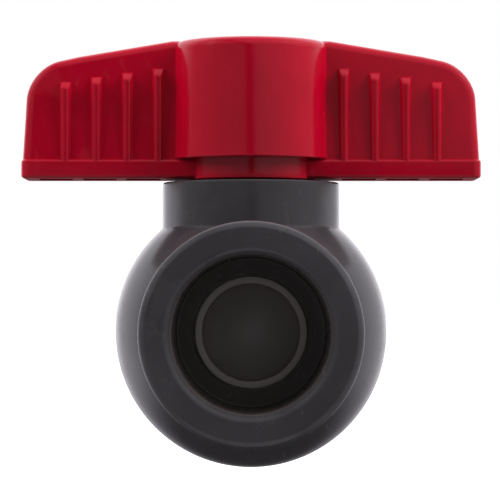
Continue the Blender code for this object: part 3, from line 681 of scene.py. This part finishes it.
def makeHandle():
    piece = makeHub()
    add(piece, makeWings(), makeRim())
    count = 4
    for i in range(count):
        for side in ((-1, -1), (1, -1), (-1, 1), (1, 1)):
            add(piece, makeRib(i / (count - 1), side))
    print("handle has its ribs")
    cells = 3
    width = (handle["cellLast"] - handle["cellFirst"] - handle["cellWeb"] * (cells - 1)) / cells
    for i in range(cells):
        near = handle["cellFirst"] + (width + handle["cellWeb"]) * i
        for side in (-1, 1):
            cut(piece, makeCell(near, near + width, side))
    half = handle["socketHalf"]
    cut(
        piece,
        turn("core", "Z", [
            (handle["coreOutside"], handleFoot - 1), (handle["coreOutside"], handle["coreTop"]),
            (handle["coreInside"], handle["coreTop"]), (handle["coreInside"], handleFoot - 1),
            (handle["coreOutside"], handleFoot - 1)], 96),
        turn("recess", "Z", [
            (handle["screwHole"], handle["socketTop"] - 1), (handle["screwHole"], handle["recessFloor"]),
            (handle["recessStep"], handle["recessFloor"]), (handle["recessStep"], handle["recessStepZ"]),
            (handle["recess"], handle["recessStepZ"]), (handle["recess"], handleHead + 1)], 96, solid=True),
        block("driveSocket", (-half, -half, handleFoot - 1), (half, half, handle["socketTop"])))
    add(piece, sector(
        "stopLug", handle["lugInside"], handle["lugOutside"],
        neckTop - body["pocketDepth"] + handle["lugGap"], handleFoot + 0.4, *handle["lug"]))
    finishPiece(piece, "handle_and_stem", "handle", redPlastic)


makeHandle()

# cap over the handle screw
cap = {
    "radius": 5.1, "skirt": 38.65, "bore": 4.2, "thickness": 1.5, "crown": 0.2, "crownDrop": 0.12,
    "edgeDrop": 0.2, "edgeRound": 0.12,
}


def makeCap():
    under = handleHead - cap["thickness"]
    top, edge = handleHead - cap["crownDrop"], handleHead - cap["edgeDrop"]
    crown = [(cap["radius"] * r, top + cap["crown"] * (1 - r * r)) for r in (0.9, 0.7, 0.45, 0.2)]
    piece = turn("handleCap", "Z", [
        (cap["bore"], under), (cap["bore"], cap["skirt"]), (cap["radius"], cap["skirt"]),
        (cap["radius"], edge), *crown], 96, solid=True)
    roundRings(piece, "Z", [(cap["radius"], edge)], cap["edgeRound"], 2)
    finishPiece(piece, "handle_and_stem", "handle_cap", redPlastic)


makeCap()

# finishes for the CAD nodes that stay as they are
nodeFinish = {
    "stem": greyPlastic, "stem_thrust_washer": seatPlastic, "connector_o_ring": blackRubber,
    "front_seat_cushion": blackRubber, "rear_seat_cushion": blackRubber, "lower_stem_o_ring": blackRubber,
    "upper_stem_o_ring": blackRubber, "handle_washer": stainlessSteel, "handle_screw": stainlessSteel,
}
for name, material in nodeFinish.items():
    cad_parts[name].data.materials.clear()
    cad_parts[name].data.materials.append(material)

# floor, light and camera
studio = {
    "floorDrop": 0.12, "floorSize": 40.0, "floorGlow": 1.0,
    "camera": (-0.00015, -0.394, 0.0043), "pitch": 1.105, "lens": 194.3,
    # glow of the room: its left and right walls, the bright back, the ceiling, and a dark card round the lens
    "walls": (0.22, 0.33), "backdrop": 1.15, "backBearing": (0.0, 0.5), "backHeight": (-0.42, 0.25),
    "backSpread": 0.55, "backRight": 0.22, "screen": 0.4, "screenBearing": (0.82, 0.95), "ceiling": 0.12,
    "ceilingHeight": (0.35, 0.7),
    "table": 0.35, "tableHeight": (0.6, 0.9), "card": (0.045, 0.15), "cardSlant": 0.5, "cardLevel": 0.07,
    "tint": (1.0, 0.965, 1.04),
    # name: place in metres, width, height, power in watts
    "lights": {
        "softboxLeft": ((-0.55, -0.10, 0.42), 0.5, 0.5, 3.7),
        "softboxRight": ((0.55, -0.10, 0.42), 0.5, 0.5, 4.8),
    },
}


def makeStage():
    pickNone()
    bpy.ops.mesh.primitive_plane_add(size=studio["floorSize"], location=(0, 0, -studio["floorDrop"]))
    floor = bpy.context.object
    floor.name = "floor"
    paper = bpy.data.materials.new("paleFloor")
    paper.use_nodes = True
    shader = paper.node_tree.nodes["Principled BSDF"]
    shader.inputs["Base Color"].default_value = (0.8, 0.8, 0.8, 1)
    shader.inputs["Roughness"].default_value = 0.9
    shader.inputs["Emission Color"].default_value = (1, 1, 1, 1)
    shader.inputs["Emission Strength"].default_value = studio["floorGlow"]
    floor.data.materials.append(paper)
    floor.visible_glossy = False
    floor.visible_diffuse = False
    floor.visible_shadow = False


def makeWorld():
    # the camera sees plain white; the valve is lit by a white room that is dim in front and below
    world = bpy.data.worlds.new("studio")
    bpy.context.scene.world = world
    world.use_nodes = True
    world.node_tree.nodes.clear()
    sky = Nodes(world.node_tree)
    x, y, z = sky.split(sky.node("ShaderNodeTexCoord", {}, {}, "Generated"))
    left, right = studio["walls"]
    walls = left + (right - left) * sky.between(x, -0.3, 0.3)
    card = sky.between(abs(x + (z - studio["cardLevel"]) * studio["cardSlant"]), *studio["card"])
    behind = sky.between(y, *studio["backBearing"])
    raised = 0.03 + sky.between(z + abs(x) * studio["backSpread"], *studio["backHeight"]) * 0.97
    raised = raised * (1 - sky.between(x, 0.2, 0.8) * studio["backRight"])
    ceiling = sky.between(z, *studio["ceilingHeight"]) * studio["ceiling"]
    table = sky.between(z * -1, *studio["tableHeight"]) * studio["table"]
    screen = sky.between(y, *studio["screenBearing"]) * studio["screen"]
    front = (1 - behind) * (walls * card + table)
    glow = front + behind * raised * studio["backdrop"] + screen * raised + ceiling
    tinted = sky.node("ShaderNodeVectorMath", {"operation": "SCALE"}, {0: studio["tint"], "Scale": glow})
    around = sky.node("ShaderNodeBackground", {}, {"Color": tinted})
    seen = sky.node("ShaderNodeBackground", {}, {"Color": (1, 1, 1, 1)})
    toCamera = sky.node("ShaderNodeLightPath", {}, {}, "Is Camera Ray")
    mix = sky.node("ShaderNodeMixShader", {}, {0: toCamera, 1: around, 2: seen})
    sky.feed(world.node_tree.nodes.new("ShaderNodeOutputWorld").inputs["Surface"], mix)


def makeLight(name, place, width, height, power):
    pickNone()
    bpy.ops.object.light_add(type="AREA", location=place)
    lamp = bpy.context.object
    lamp.name = name
    lamp.data.shape = "RECTANGLE"
    lamp.data.size = width
    lamp.data.size_y = height
    lamp.data.energy = power
    lamp.rotation_euler = (Vector((0, 0, 0.01)) - Vector(place)).to_track_quat("-Z", "Y").to_euler()
    lamp.visible_camera = False
    lamp.visible_glossy = False


def makeCamera():
    pickNone()
    bpy.ops.object.camera_add(location=studio["camera"], rotation=(math.radians(90 + studio["pitch"]), 0, 0))
    camera = bpy.context.object
    camera.data.lens = studio["lens"]
    camera.data.sensor_width = 36
    camera.data.clip_end = 50
    bpy.context.scene.camera = camera


makeStage()
makeWorld()
for name, (place, width, height, power) in studio["lights"].items():
    makeLight(name, place, width, height, power)
makeCamera()
bpy.context.scene.view_settings.view_transform = "Standard"
print("stage set")
